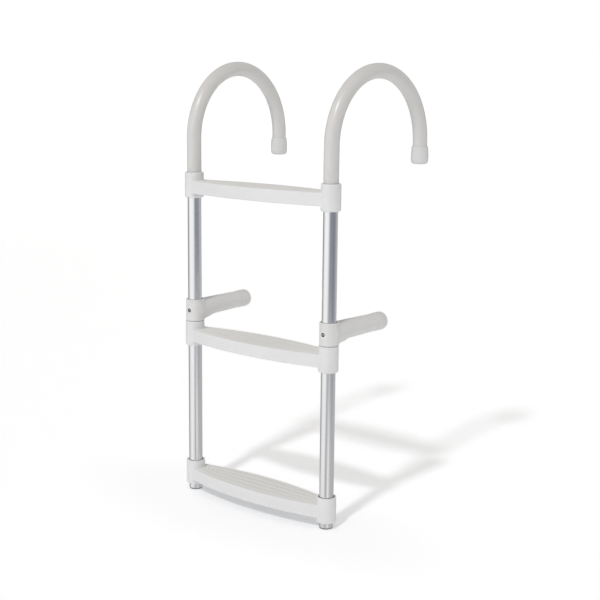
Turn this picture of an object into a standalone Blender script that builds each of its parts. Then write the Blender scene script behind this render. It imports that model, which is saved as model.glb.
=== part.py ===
"""Portable three-step hook ladder, as separate solids in metres, +Z up.

The ladder stands upright with its feet at Z = 0. The rails lie left and right of the YZ plane, the
hooks and the standoff arms point towards +Y, and the origin is at the middle of the bounding box's base.
"""

import math

import bmesh
import bpy
from mathutils import Matrix, Vector

# Driving dimensions
TUBE_RADIUS = 0.0127
TUBE_WALL = 0.0015
RAIL_SPACING = 0.3184
HOOK_RADIUS = 0.1262
HOOK_CENTRE_Z = 0.6702
SPLAY = math.radians(2.0)
GAP = 0.0003

# Sleeve and end cap of the hook
SLEEVE_INNER = TUBE_RADIUS + 0.00025
SLEEVE_RADIUS = 0.01355
CAP_TOP_Z = 0.662
CAP_BOTTOM_Z = 0.6285
CAP_TOP_RADIUS = 0.0150
CAP_RADIUS = 0.0162
CAP_FLOOR = 0.0055
CAP_ROUNDING = 0.0055

# Steps: height of each collar's lower edge
STEP_BASES = {"bottom": 0.0114, "middle": 0.2841, "top": 0.5628}
COLLAR_HEIGHT = 0.0467
COLLAR_RADIUS = 0.0176
BORE_RADIUS = 0.0131
COUNTERBORE_RADIUS = 0.0143
COUNTERBORE_DEPTH = 0.008
TREAD_BELOW_RIM = 0.0151
APRON_ABOVE_BASE = 0.0085
FRONT_AT_RAIL = 0.0116
FRONT_BOW = 0.0230
REAR_AT_RAIL = 0.0215
REAR_BOW = 0.0198
APRON_WALL = 0.0028
TREAD_WALL = 0.0034
RIB_WALL = 0.0024
POCKETS = 5
POCKET_END = 0.0085

# Step screws, driven outwards from the pocket beside each collar
SCREW_DROP = 0.0145
SCREW_SEAT = 0.0164
SCREW_HEAD_RADIUS = 0.0038
SCREW_HEAD_HEIGHT = 0.0024
SCREW_SHANK_RADIUS = 0.0020
SCREW_TIP = 0.0096

# Foot plugs
RAIL_BOTTOM_Z = 0.0022
PLUG_HEAD_RADIUS = 0.0121
PLUG_SHANK_TOP = 0.020

# Standoffs
STANDOFF_BASE = STEP_BASES["middle"] + COLLAR_HEIGHT + 0.0004
STANDOFF_HEIGHT = 0.0410
STANDOFF_RADIUS = 0.0166
STANDOFF_COUNTERBORE = 0.003
ARM_Z = 0.0218
ARM_ROOT_RADIUS = 0.0175
ARM_END_RADIUS = 0.0159
ARM_END = 0.119
ARM_CORE_RADIUS = 0.0125
ARM_CORE_START = 0.034
TIP_LENGTH = 0.030
TIP_RADIUS = 0.0165
TIP_ROUNDING = 0.0065
TIP_SPIGOT = 0.018

# Clamp screws and their square nuts, in front of the rail
CLAMP_Z = 0.0205
CLAMP_SCREW_RADIUS = 0.0029
CLAMP_HOLE_RADIUS = 0.0034
NUT_NEAR = 0.0132
NUT_FAR = 0.0154
NUT_HALF = 0.0048

# Facets
TUBE_SIDES = 16
COLLAR_SIDES = 24
SMALL_SIDES = 12
BEND_STEPS = 14
ARC_STEPS = 14

HALF_SPACING = RAIL_SPACING / 2
FRONT_REACH = FRONT_AT_RAIL + FRONT_BOW
HOOK_REACH = 2 * HOOK_RADIUS * math.cos(SPLAY) + CAP_RADIUS
RAIL_Y = (FRONT_REACH - HOOK_REACH) / 2
SIDES = {"left": -1, "right": 1}

COLOURS = {
    "aluminium": ((0.66, 0.67, 0.69), 0.28, 1.0),
    "vinyl": ((0.76, 0.75, 0.73), 0.42, 0.0),
    "plastic": ((0.80, 0.80, 0.80), 0.45, 0.0),
    "cap": ((0.72, 0.72, 0.71), 0.5, 0.0),
    "plug": ((0.30, 0.30, 0.31), 0.55, 0.0),
    "steel": ((0.55, 0.55, 0.56), 0.3, 1.0),
    "brass": ((0.62, 0.48, 0.22), 0.35, 1.0),
}


def clear_scene():
    """Remove what the scene holds."""
    for obj in list(bpy.data.objects):
        bpy.data.objects.remove(obj, do_unlink=True)


def material(name, finish):
    """A Principled material in one of the finishes."""
    colour, roughness, metallic = COLOURS[finish]
    made = bpy.data.materials.new(name)
    made.use_nodes = True
    shader = made.node_tree.nodes["Principled BSDF"]
    shader.inputs["Base Color"].default_value = (*colour, 1.0)
    shader.inputs["Roughness"].default_value = roughness
    shader.inputs["Metallic"].default_value = metallic
    return made


def add_object(name, bm, finish=None):
    """Turn a bmesh into an object; without a finish it is a cutter."""
    bmesh.ops.recalc_face_normals(bm, faces=bm.faces)
    mesh = bpy.data.meshes.new(name)
    bm.to_mesh(mesh)
    bm.free()
    mesh.shade_smooth()
    mesh.set_sharp_from_angle(angle=math.radians(35))
    obj = bpy.data.objects.new(name, mesh)
    bpy.context.scene.collection.objects.link(obj)
    if finish:
        mesh.materials.append(material(name, finish))
    else:
        obj.hide_render = True
        obj.display_type = "WIRE"
    return obj


def combine(target, tool, operation):
    """Add a Boolean that cuts the tool from the target or joins it on."""
    boolean = target.modifiers.new(tool.name, "BOOLEAN")
    boolean.operation = operation
    boolean.solver = "EXACT"
    boolean.object = tool


def loft(bm, rings, closed=False):
    """Skin a list of rings of equal length; a closed loft joins the last ring to the first."""
    loops = [[bm.verts.new(point) for point in ring] for ring in rings]
    pairs = list(zip(loops, loops[1:]))
    if closed:
        pairs.append((loops[-1], loops[0]))
    for lower, upper in pairs:
        for i in range(len(lower)):
            j = (i + 1) % len(lower)
            bm.faces.new((lower[i], lower[j], upper[j], upper[i]))
    if not closed:
        bm.faces.new(reversed(loops[0]))
        bm.faces.new(loops[-1])


def circle(radius, z, sides):
    """A ring of points round the Z axis."""
    angles = [2 * math.pi * (i + 0.5) / sides for i in range(sides)]
    return [Vector((radius * math.cos(a), radius * math.sin(a), z)) for a in angles]


def turned(profile, sides):
    """A solid of revolution from (radius, z) points, listed from the bottom face to the top face."""
    bm = bmesh.new()
    loft(bm, [circle(radius, z, sides) for radius, z in profile])
    return bm


def turned_shell(profile, sides):
    """A ring-like solid of revolution from a closed (radius, z) profile that keeps off the axis."""
    bm = bmesh.new()
    loft(bm, [circle(radius, z, sides) for radius, z in profile], closed=True)
    return bm


def rounding(radius, z, size, steps=3):
    """Points of a convex quarter round that turns from a face at z into a wall at this radius."""
    points = []
    for i in range(steps + 1):
        angle = math.pi / 2 * i / steps
        points.append((radius - size + size * math.sin(angle), z + size - size * math.cos(angle)))
    return points


def prism(outline, low, high):
    """An outline of (x, y) points extruded from low to high."""
    bm = bmesh.new()
    loft(bm, [[Vector((x, y, z)) for x, y in outline] for z in (low, high)])
    return bm


def along(axis, origin):
    """A transform that stands local +Z along an axis at an origin."""
    return Matrix.Translation(origin) @ Vector(axis).to_track_quat("Z", "Y").to_matrix().to_4x4()


def hook_rings(radius, start_z, end_z):
    """Rings along a rail: up from start_z, over the hook and down to end_z, in the rail's own frame."""
    rings = [circle(radius, start_z, TUBE_SIDES)]
    for i in range(BEND_STEPS + 1):
        turn = math.pi * i / BEND_STEPS
        frame = Matrix.Translation((0, HOOK_RADIUS, HOOK_CENTRE_Z)) @ Matrix.Rotation(-turn, 4, "X")
        offset = Matrix.Translation((0, -HOOK_RADIUS, 0))
        rings.append([frame @ offset @ point for point in circle(radius, 0, TUBE_SIDES)])
    drop = Matrix.Translation((0, 0, end_z - HOOK_CENTRE_Z))
    rings.append([drop @ point for point in rings[-1]])
    return rings


def bent_tube(name, side, outer, inner, start_z, end_z, finish):
    """A hollow tube along one rail and its hook, turned outwards by the splay."""
    bm = bmesh.new()
    outside = hook_rings(outer, start_z, end_z)
    inside = hook_rings(inner, start_z, end_z)
    loft(bm, outside + inside[::-1], closed=True)
    obj = add_object(name, bm, finish)
    obj.location = (side * HALF_SPACING, RAIL_Y, 0)
    obj.rotation_euler.z = -side * SPLAY
    return obj


def make_rail(label, side):
    """One side rail with its hook, and the pilot holes for the three step screws."""
    rail = bent_tube(f"{label}_rail", side, TUBE_RADIUS, TUBE_RADIUS - TUBE_WALL,
                     RAIL_BOTTOM_Z, CAP_BOTTOM_Z + CAP_FLOOR + GAP, "aluminium")
    for level, base in STEP_BASES.items():
        hole = turned([(SCREW_SHANK_RADIUS + GAP, 0.004), (SCREW_SHANK_RADIUS + GAP, 0.016)], SMALL_SIDES)
        cutter = add_object(f"cut_{label}_rail_{level}", hole)
        cutter.matrix_world = along((-side, 0, 0), (side * HALF_SPACING, RAIL_Y, screw_z(base)))
        combine(rail, cutter, "DIFFERENCE")


def make_hook_sleeve(label, side):
    """The sleeve over one hook; it starts in the top collar's counterbore and ends in the cap."""
    shoulder = STEP_BASES["top"] + COLLAR_HEIGHT - COUNTERBORE_DEPTH
    bent_tube(f"{label}_hook_sleeve", side, SLEEVE_RADIUS, SLEEVE_INNER,
              shoulder + GAP, CAP_BOTTOM_Z + CAP_FLOOR + GAP, "vinyl")


def make_hook_cap(label, side):
    """The flared cup on the free end of one hook."""
    height = CAP_TOP_Z - CAP_BOTTOM_Z
    bore = SLEEVE_RADIUS + GAP
    profile = rounding(CAP_RADIUS, 0, CAP_ROUNDING)
    profile += [(CAP_RADIUS, height * 0.45), (CAP_TOP_RADIUS + 0.0002, height - 0.001)]
    profile += [(CAP_TOP_RADIUS - 0.0006, height), (bore, height), (bore, CAP_FLOOR)]
    bm = turned(profile, COLLAR_SIDES)
    cap = add_object(f"{label}_hook_cap", bm, "cap")
    reach = 2 * HOOK_RADIUS
    cap.location = (side * (HALF_SPACING + reach * math.sin(SPLAY)),
                    RAIL_Y + reach * math.cos(SPLAY), CAP_BOTTOM_Z)


def make_foot_plug(label, side):
    """The plug in the bottom end of one rail, which the ladder stands on."""
    inner = TUBE_RADIUS - TUBE_WALL - GAP
    head_top = RAIL_BOTTOM_Z - GAP
    profile = rounding(PLUG_HEAD_RADIUS, 0, 0.0011, 2)
    profile += [(PLUG_HEAD_RADIUS, head_top), (inner, head_top)]
    profile += [(inner, PLUG_SHANK_TOP - 0.002), (inner - 0.0012, PLUG_SHANK_TOP)]
    plug = add_object(f"{label}_foot_plug", turned(profile, TUBE_SIDES), "plug")
    plug.location = (side * HALF_SPACING, RAIL_Y, 0)


def front_y(x, inset=0.0):
    """The bowed front edge of a step, before the rails."""
    return -FRONT_AT_RAIL - FRONT_BOW * (1 - (x / HALF_SPACING) ** 2) + inset


def rear_y(x, inset=0.0):
    """The bowed rear edge of a step, behind the rails."""
    return REAR_AT_RAIL + REAR_BOW * (1 - (x / HALF_SPACING) ** 2) - inset


def strip(low_x, high_x, inset, steps):
    """The outline between the two bowed edges from low_x to high_x."""
    xs = [low_x + (high_x - low_x) * i / steps for i in range(steps + 1)]
    return [(x, front_y(x, inset)) for x in xs] + [(x, rear_y(x, inset)) for x in reversed(xs)]


def step_outline():
    """The tread's outline; behind each collar its corner is rounded off onto the collar."""
    end = HALF_SPACING - 0.008
    middle = strip(-end, end, 0.0, ARC_STEPS)
    front = middle[:ARC_STEPS + 1]
    rear = middle[ARC_STEPS + 1:]
    right = [(HALF_SPACING, front_y(HALF_SPACING)), (HALF_SPACING + 0.004, 0.0162),
             (HALF_SPACING - 0.001, 0.0206)]
    left = [(-x, y) for x, y in reversed(right)]
    return front + right + rear + left


def pocket_edges():
    """The x limits of the pockets under the tread, with a rib between neighbours."""
    reach = HALF_SPACING - POCKET_END
    pitch = (2 * reach + RIB_WALL) / POCKETS
    return [(-reach + i * pitch, -reach + (i + 1) * pitch - RIB_WALL) for i in range(POCKETS)]


def screw_z(base):
    """Height of a step screw's axis."""
    return base + SCREW_DROP


def add_collar(step, level, base, label, side):
    """Join one collar to a step, bore it for the rail and face it for its screw."""
    centre = Vector((side * HALF_SPACING, RAIL_Y, 0))
    wall = rounding(COLLAR_RADIUS, 0, 0.0022, 2)
    wall += [(COLLAR_RADIUS, COLLAR_HEIGHT - 0.0008), (COLLAR_RADIUS - 0.0008, COLLAR_HEIGHT)]
    collar = add_object(f"join_{level}_collar_{label}", turned(wall, COLLAR_SIDES))
    collar.location = centre + Vector((0, 0, base))
    combine(step, collar, "UNION")
    shoulder = COLLAR_HEIGHT - COUNTERBORE_DEPTH
    bore = [(BORE_RADIUS, -0.01), (BORE_RADIUS, shoulder), (COUNTERBORE_RADIUS, shoulder),
            (COUNTERBORE_RADIUS, COLLAR_HEIGHT + 0.01)]
    cutter = add_object(f"cut_{level}_bore_{label}", turned(bore, COLLAR_SIDES))
    cutter.location = centre + Vector((0, 0, base))
    combine(step, cutter, "DIFFERENCE")
    seat = [(SCREW_SHANK_RADIUS + GAP, 0.005), (SCREW_SHANK_RADIUS + GAP, SCREW_SEAT),
            (SCREW_HEAD_RADIUS + 0.0008, SCREW_SEAT), (SCREW_HEAD_RADIUS + 0.0008, 0.024)]
    face = add_object(f"cut_{level}_seat_{label}", turned(seat, SMALL_SIDES))
    face.matrix_world = along((-side, 0, 0), centre + Vector((0, 0, screw_z(base))))
    combine(step, face, "DIFFERENCE")


def make_step(level, base):
    """One step: a bowed tread over ribbed pockets, with a collar at each end."""
    tread_z = base + COLLAR_HEIGHT - TREAD_BELOW_RIM
    apron_z = base + APRON_ABOVE_BASE
    step = add_object(f"{level}_step", prism(step_outline(), apron_z, tread_z), "plastic")
    step.location.y = RAIL_Y
    for number, (low_x, high_x) in enumerate(pocket_edges()):
        outline = strip(low_x, high_x, APRON_WALL, 4)
        pocket = add_object(f"cut_{level}_pocket_{number}",
                            prism(outline, apron_z - 0.01, tread_z - TREAD_WALL))
        pocket.location.y = RAIL_Y
        combine(step, pocket, "DIFFERENCE")
    for label, side in SIDES.items():
        add_collar(step, level, base, label, side)


def make_step_screw(level, base, label, side):
    """A pan-head screw through the collar's inner side into the rail."""
    profile = [(SCREW_SHANK_RADIUS * 0.4, SCREW_TIP), (SCREW_SHANK_RADIUS, SCREW_TIP + 0.0015),
               (SCREW_SHANK_RADIUS, SCREW_SEAT + GAP), (SCREW_HEAD_RADIUS, SCREW_SEAT + GAP),
               (SCREW_HEAD_RADIUS, SCREW_SEAT + GAP + SCREW_HEAD_HEIGHT * 0.55),
               (SCREW_HEAD_RADIUS * 0.72, SCREW_SEAT + GAP + SCREW_HEAD_HEIGHT)]
    screw = add_object(f"{level}_step_screw_{label}", turned(profile, SMALL_SIDES), "steel")
    screw.matrix_world = along((-side, 0, 0), (side * HALF_SPACING, RAIL_Y, screw_z(base)))


def arm_section(y, half_width, top, bottom):
    """An oval section of the arm across Y."""
    middle = (top + bottom) / 2
    half_height = (top - bottom) / 2
    angles = [2 * math.pi * (i + 0.5) / TUBE_SIDES for i in range(TUBE_SIDES)]
    return [Vector((half_width * math.cos(a), y, middle + half_height * math.sin(a))) for a in angles]


def arm_radius(y):
    """The arm's radius, which tapers to its end."""
    return ARM_ROOT_RADIUS + (ARM_END_RADIUS - ARM_ROOT_RADIUS) * y / ARM_END


def gusset_drop(y):
    """How far the arm's underside hangs below its round section near the collar."""
    near, far, drop = 0.026, 0.060, 0.0040
    blend = min(max((far - y) / (far - near), 0.0), 1.0)
    return drop * blend * blend * (3 - 2 * blend)


def make_standoff(label, side):
    """One standoff: its collar, its hollow round arm and the pocket for the square nut."""
    wall = [(STANDOFF_RADIUS - 0.0006, 0), (STANDOFF_RADIUS, 0.0006),
            (STANDOFF_RADIUS, STANDOFF_HEIGHT - 0.0008), (STANDOFF_RADIUS - 0.0008, STANDOFF_HEIGHT)]
    standoff = add_object(f"{label}_standoff", turned(wall, COLLAR_SIDES), "plastic")
    bm = bmesh.new()
    sections = []
    for y in (0.004, 0.018, 0.026, 0.034, 0.043, 0.052, 0.060, ARM_END):
        radius = arm_radius(y)
        sections.append(arm_section(y, min(radius, 0.0150 + 0.12 * y), ARM_Z + radius,
                                    ARM_Z - radius - gusset_drop(y)))
    loft(bm, sections)
    arm = add_object(f"join_{label}_arm", bm)
    combine(standoff, arm, "UNION")
    top = STANDOFF_HEIGHT - STANDOFF_COUNTERBORE
    bore = [(BORE_RADIUS, -0.01), (BORE_RADIUS, top), (COUNTERBORE_RADIUS, top),
            (COUNTERBORE_RADIUS, STANDOFF_HEIGHT + 0.01)]
    tools = [add_object(f"cut_{label}_standoff_bore", turned(bore, COLLAR_SIDES))]
    core = turned([(ARM_CORE_RADIUS, ARM_CORE_START), (ARM_CORE_RADIUS, ARM_END + 0.01)], TUBE_SIDES)
    tools.append(add_object(f"cut_{label}_arm_core", core))
    tools[-1].matrix_world = along((0, 1, 0), (0, 0, ARM_Z))
    hole = turned([(CLAMP_HOLE_RADIUS, 0.008), (CLAMP_HOLE_RADIUS, 0.020)], SMALL_SIDES)
    tools.append(add_object(f"cut_{label}_clamp_hole", hole))
    tools[-1].matrix_world = along((0, -1, 0), (0, 0, CLAMP_Z))
    half = NUT_HALF + GAP
    pocket = prism([(-half, -NUT_FAR - GAP), (half, -NUT_FAR - GAP), (half, -0.008), (-half, -0.008)],
                   CLAMP_Z - half, CLAMP_Z + half)
    tools.append(add_object(f"cut_{label}_nut_pocket", pocket))
    for tool in tools:
        combine(standoff, tool, "DIFFERENCE")
    for tool in tools + [arm]:
        tool.parent = standoff
    standoff.location = (side * HALF_SPACING, RAIL_Y, STANDOFF_BASE)
    standoff.rotation_euler.z = -side * SPLAY
    return standoff


def make_standoff_tip(label, standoff):
    """The bumper at the end of one arm, with a spigot in the arm's core."""
    spigot = ARM_CORE_RADIUS - GAP
    nose = [(radius, TIP_LENGTH - z) for radius, z in rounding(TIP_RADIUS, 0, TIP_ROUNDING)]
    profile = [(spigot - 0.001, -TIP_SPIGOT), (spigot, -TIP_SPIGOT + 0.001), (spigot, GAP),
               (ARM_END_RADIUS + 0.0002, GAP), (TIP_RADIUS, 0.005)] + nose[::-1]
    tip = add_object(f"{label}_standoff_tip", turned(profile, TUBE_SIDES), "cap")
    tip.parent = standoff
    tip.matrix_local = along((0, 1, 0), (0, ARM_END, ARM_Z))


def make_clamp_nut(label, standoff):
    """The square nut that the set screw runs in."""
    outline = [(-NUT_HALF, -NUT_HALF), (NUT_HALF, -NUT_HALF), (NUT_HALF, NUT_HALF), (-NUT_HALF, NUT_HALF)]
    nut = add_object(f"{label}_clamp_nut", prism(outline, NUT_NEAR, NUT_FAR), "brass")
    hole = turned([(CLAMP_SCREW_RADIUS + GAP, 0.010), (CLAMP_SCREW_RADIUS + GAP, 0.020)], SMALL_SIDES)
    cutter = add_object(f"cut_{label}_nut_hole", hole)
    combine(nut, cutter, "DIFFERENCE")
    for piece in (nut, cutter):
        piece.parent = standoff
        piece.matrix_local = along((0, -1, 0), (0, 0, CLAMP_Z))


def make_clamp_screw(label, standoff):
    """The socket set screw that presses on the rail."""
    near = TUBE_RADIUS + GAP
    far = STANDOFF_RADIUS - 0.0004
    profile = [(CLAMP_SCREW_RADIUS * 0.6, near), (CLAMP_SCREW_RADIUS, near + 0.0008),
               (CLAMP_SCREW_RADIUS, far - 0.0003), (CLAMP_SCREW_RADIUS - 0.0003, far)]
    screw = add_object(f"{label}_clamp_screw", turned(profile, SMALL_SIDES), "steel")
    socket = add_object(f"cut_{label}_socket", turned([(0.0016, far - 0.0018), (0.0016, far + 0.004)], 6))
    combine(screw, socket, "DIFFERENCE")
    for piece in (screw, socket):
        piece.parent = standoff
        piece.matrix_local = along((0, -1, 0), (0, 0, CLAMP_Z))


def main():
    """Build the whole ladder."""
    clear_scene()
    for level, base in STEP_BASES.items():
        make_step(level, base)
        for label, side in SIDES.items():
            make_step_screw(level, base, label, side)
    for label, side in SIDES.items():
        make_rail(label, side)
        make_hook_sleeve(label, side)
        make_hook_cap(label, side)
        make_foot_plug(label, side)
        standoff = make_standoff(label, side)
        make_standoff_tip(label, standoff)
        make_clamp_nut(label, standoff)
        make_clamp_screw(label, standoff)
    bpy.context.view_layer.update()


main()
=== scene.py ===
"""Looks of the portable three-step hook ladder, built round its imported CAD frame. Metres, +Z up.

Steps, standoffs, screws and nuts are meshed from distance fields: functions that are negative inside the
piece and zero on its surface, so that fillets, edges and ridges are real surfaces. Rails, sleeves, caps,
plugs and bumpers are rings lofted along their own line.
"""
import math

import bmesh
import bpy
import numpy as np
from mathutils import Matrix, Vector


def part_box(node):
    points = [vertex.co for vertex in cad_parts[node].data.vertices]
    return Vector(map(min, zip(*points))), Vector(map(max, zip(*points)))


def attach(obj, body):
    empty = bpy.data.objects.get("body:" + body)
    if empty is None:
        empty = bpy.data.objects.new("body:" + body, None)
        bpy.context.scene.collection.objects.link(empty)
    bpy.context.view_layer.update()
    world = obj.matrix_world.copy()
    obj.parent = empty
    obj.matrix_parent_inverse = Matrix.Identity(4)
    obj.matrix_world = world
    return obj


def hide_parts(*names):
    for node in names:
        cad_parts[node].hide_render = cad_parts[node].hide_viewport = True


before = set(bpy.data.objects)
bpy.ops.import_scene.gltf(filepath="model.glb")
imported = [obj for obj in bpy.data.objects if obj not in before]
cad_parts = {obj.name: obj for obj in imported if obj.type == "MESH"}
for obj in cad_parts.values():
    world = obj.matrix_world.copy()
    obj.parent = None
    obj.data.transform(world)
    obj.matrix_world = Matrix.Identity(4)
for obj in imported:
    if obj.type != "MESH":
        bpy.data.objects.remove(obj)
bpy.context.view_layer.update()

SIDES = {"left": -1, "right": 1}
LEVELS = ("bottom", "middle", "top")

# Places, read from the frame
PLUG_LOW, PLUG_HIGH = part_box("right_foot_plug")
HALF_SPACING = (PLUG_LOW.x + PLUG_HIGH.x) / 2
RAIL_Y = (PLUG_LOW.y + PLUG_HIGH.y) / 2
STEP_BASES = {level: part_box(f"{level}_step")[0].z for level in LEVELS}
STANDOFF_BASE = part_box("right_standoff")[0].z
CAP_LOW, CAP_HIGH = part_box("right_hook_cap")
CAP_BOTTOM_Z = CAP_LOW.z
CAP_HEIGHT = CAP_HIGH.z - CAP_LOW.z
RAIL_BOTTOM_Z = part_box("right_rail")[0].z

# Sizes of the tubes and what fits on them
GAP = 0.0003                  # air left between neighbouring pieces
TUBE_RADIUS = 0.0127
TUBE_WALL = 0.0015
HOOK_RADIUS = 0.1262
HOOK_CENTRE_Z = 0.6702
SPLAY = math.radians(2.0)
SLEEVE_INNER = TUBE_RADIUS + 0.00025
SLEEVE_RADIUS = 0.0134
CAP_TOP_RADIUS = 0.0150
CAP_RADIUS = 0.0162
CAP_FLOOR = 0.0055
PLUG_HEAD_RADIUS = 0.0121
PLUG_HEIGHT = 0.020
PLUG_DISH_RADIUS = 0.0070
PLUG_DISH_DEPTH = 0.0006
PLUG_RIM_RADIUS = 0.0082
TUBE_LIP = 0.0004
SLEEVE_LIP = 0.0002
LIP_SUPPORT = 0.0012          # distance from a tube's end to the ring that keeps its wall straight

# Sizes of a step, from the lower edge of its collars
COLLAR_HEIGHT = 0.0467
COLLAR_RADIUS = 0.0176
BORE_RADIUS = 0.0131
COUNTERBORE_RADIUS = 0.0143
COUNTERBORE_DEPTH = 0.008
TREAD_Z = COLLAR_HEIGHT - 0.0151
APRON_Z = 0.0085
FRONT_AT_RAIL = 0.0145
FRONT_BOW = 0.0201
REAR_AT_RAIL = 0.0215
REAR_BOW = 0.0198
APRON_WALL = 0.0028
TREAD_WALL = 0.0034
RIB_WALL = 0.0024
POCKETS = 5
POCKET_END = 0.0085
BODY_PAST_RAIL = 0.004
RIDGES = 5
RIDGE_HEIGHT = 0.0015
GROOVE_ROUNDNESS = 0.02
RIDGE_LEVEL = 0.65            # the height in the ridges' wave that lies level with the tread
RIDGE_FADE = 0.004

# Roundings and fillets of a step
TREAD_ROUNDING = 0.0020
APRON_ROUNDING = 0.0010
BODY_END_ROUNDING = 0.010
POCKET_ROUNDING = 0.002
POCKET_ROOF_ROUNDING = 0.0015
RIB_ROUNDING = 0.0010
COLLAR_TOP_ROUNDING = 0.0015
COLLAR_FOOT_ROUNDING = 0.0034
COLLAR_FILLET = 0.0026
MOUTH_ROUNDING = 0.0006       # at the mouths of bores, pockets and the arm's hollow
HOLE_ROUNDING = 0.0003        # at holes for screws, and under their heads

# The tread's top: a band about its level, clear of the collars, where the surface faces upwards, with scuffs
# and grit and a warmer, lighter tone that is painted light on the upward faces
TREAD_TOP_LOW = -0.0014
TREAD_TOP_HIGH = 0.0006
TREAD_TOP_CLEARANCE = 0.0005
TREAD_TOP_UPWARDS = 0.6

# Step screws, inward from the rail's axis, and the clamp screws and nuts, forward from it
SCREW_Z = 0.0145
SCREW_SEAT = 0.0164
SCREW_HEAD_RADIUS = 0.0038
SCREW_HEAD_HEIGHT = 0.0024
SCREW_SHANK_RADIUS = 0.0020
SCREW_TIP = 0.0096
SCREW_PITCH = 0.0009
SCREW_DOME_RADIUS = 0.0052
HEAD_CLEARANCE = 0.0008
HOLE_START = 0.005
HOLE_END = 0.024
RECESS_DEPTH = 0.0015
RECESS_REACH = 0.0018
RECESS_HALF_WIDTH = 0.00042
RECESS_SIDE_TAPER = 0.12
RECESS_END_TAPER = 0.5
SHANK_INTO_HEAD = 0.0005
THREAD_RUNOUT = 0.0006
SHANK_POINT_ROUNDING = 0.0012
HEAD_ROUNDING = 0.0009
CRISP = 0.0002                # rounding of the sharpest metal edges
THREAD_DEPTH = 0.00012
CLAMP_Z = 0.0205
CLAMP_SCREW_RADIUS = 0.0029
CLAMP_HOLE_RADIUS = 0.0036
NUT_NEAR = 0.0132
NUT_FAR = 0.0154
NUT_HALF = 0.0048
NUT_CORNER = 0.0010
NUT_THREAD_DEPTH = 0.0001
NUT_HOLE_ROUNDING = 0.0005
# Painted shade on the nut's face round its hole, where it lies deep in the clamp hole: its reach and fade
NUT_SHADE_RADIUS = 0.0042
NUT_SHADE_FADE = 0.0006
SET_SCREW_END = 0.0159
SET_SCREW_LAND = 0.0015
SET_SCREW_PITCH = 0.0010
SET_SCREW_POINT_ROUNDING = 0.0010
CHAMFER_SLOPE = 0.8
CHAMFER_SCALE = 0.78          # brings the sloping field back to true distance
SOCKET_HALF_WIDTH = 0.0008
SOCKET_DEPTH = 0.0014

# Standoffs, from the rail's axis and the collar's lower edge
STANDOFF_HEIGHT = 0.0410
STANDOFF_RADIUS = 0.0166
STANDOFF_COUNTERBORE = 0.003
ARM_Z = 0.0218
ARM_ROOT_RADIUS = 0.0175
ARM_END_RADIUS = 0.0159
ARM_END = 0.119
ARM_CORE_RADIUS = 0.0125
ARM_CORE_START = 0.034
ARM_START = 0.004
ARM_WAIST = 0.0150            # half the arm's width at the rail's axis
ARM_FLARE = 0.12
ARM_FILLET = 0.0080
GUSSET_DROP = 0.0050
GUSSET_END = 0.052
GUSSET_LENGTH = 0.032
CLAMP_SIDE = 0.008            # the clamp hole and the nut's pocket begin this far in front of the rail's axis
STANDOFF_TOP_ROUNDING = 0.0014
STANDOFF_FOOT_ROUNDING = 0.0012
STANDOFF_RIM_ROUNDING = 0.0008
CLAMP_HOLE_ROUNDING = 0.0007
NUT_POCKET_ROUNDING = 0.0002
TIP_LENGTH = 0.030
TIP_RADIUS = 0.0165
TIP_SPIGOT = 0.018
TIP_LIP = 0.0042

# Rings and sides of the lofted pieces
TUBE_SIDES = 64
BEND_RINGS = 72
ROUND_SIDES = 96
PLUG_SIDES = 64

# Grids for the fields: (start, end, spacing) runs along an axis, finer where a piece has edges
STEP_SHARE_RUNS = ((-0.28, -0.02, 0.030), (-0.02, 1.02, 0.0145), (1.02, 1.16, 0.030))
STEP_HEIGHT_RUNS = ((-0.0012, 0.0108, 0.0008), (0.0108, 0.0252, 0.0018), (0.0252, 0.0336, 0.0007),
                    (0.0336, 0.0448, 0.0014), (0.0448, 0.0482, 0.0006))
STEP_FINE = 0.0010
STEP_COARSE = 0.0035
STEP_RIB_SPACING = 0.0008
STEP_RIB_REACH = 0.0024
STEP_MARGIN = 0.0012
STEP_END_REACH = 0.0100
STANDOFF_X_RUNS = ((-0.0190, -0.0060, 0.0008), (-0.0060, 0.0060, 0.0004), (0.0060, 0.0190, 0.0008))
STANDOFF_Y_RUNS = ((-0.0180, -0.0120, 0.0004), (-0.0120, 0.0370, 0.0009), (0.0370, 0.1165, 0.0022),
                   (0.1165, 0.1205, 0.0006))
STANDOFF_Z_RUNS = ((-0.0012, 0.0020, 0.0006), (0.0020, 0.0146, 0.0009), (0.0146, 0.0264, 0.0004),
                   (0.0264, 0.0385, 0.0009), (0.0385, 0.0425, 0.00067))
PAN_HEAD_ACROSS = (-0.0042, 0.0042, 0.00022)
PAN_HEAD_RUNS = ((SCREW_TIP - 0.0004, SCREW_SEAT, 0.00035), (SCREW_SEAT, SCREW_SEAT + 0.0032, 0.00022))
SET_SCREW_ACROSS = (-0.0032, 0.0032, 0.00017)
SET_SCREW_RUN = (TUBE_RADIUS, STANDOFF_RADIUS, 0.00017)
NUT_ACROSS = (-0.0052, 0.0052, 0.00026)
NUT_RUN = (NUT_NEAR - 0.0004, NUT_FAR + 0.0004, 0.00018)


# ---------------------------------------------------------------- meshes from distance fields

def smooth_min(a, b, reach):
    """The smaller of two fields, with a fillet where they meet."""
    blend = np.maximum(reach - np.abs(a - b), 0.0) / reach
    return np.minimum(a, b) - blend * blend * reach / 4


def smooth_max(a, b, reach):
    """The larger of two fields, with a rounded edge where they meet."""
    return -smooth_min(-a, -b, reach)


def gradient(field, points, reach=4e-5):
    """The field's slope at each point, by central differences."""
    slope = np.empty_like(points)
    for axis in range(3):
        shift = np.zeros(3)
        shift[axis] = reach
        ahead, behind = points + shift, points - shift
        slope[:, axis] = (field(*ahead.T) - field(*behind.T)) / (2 * reach)
    return slope


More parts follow.
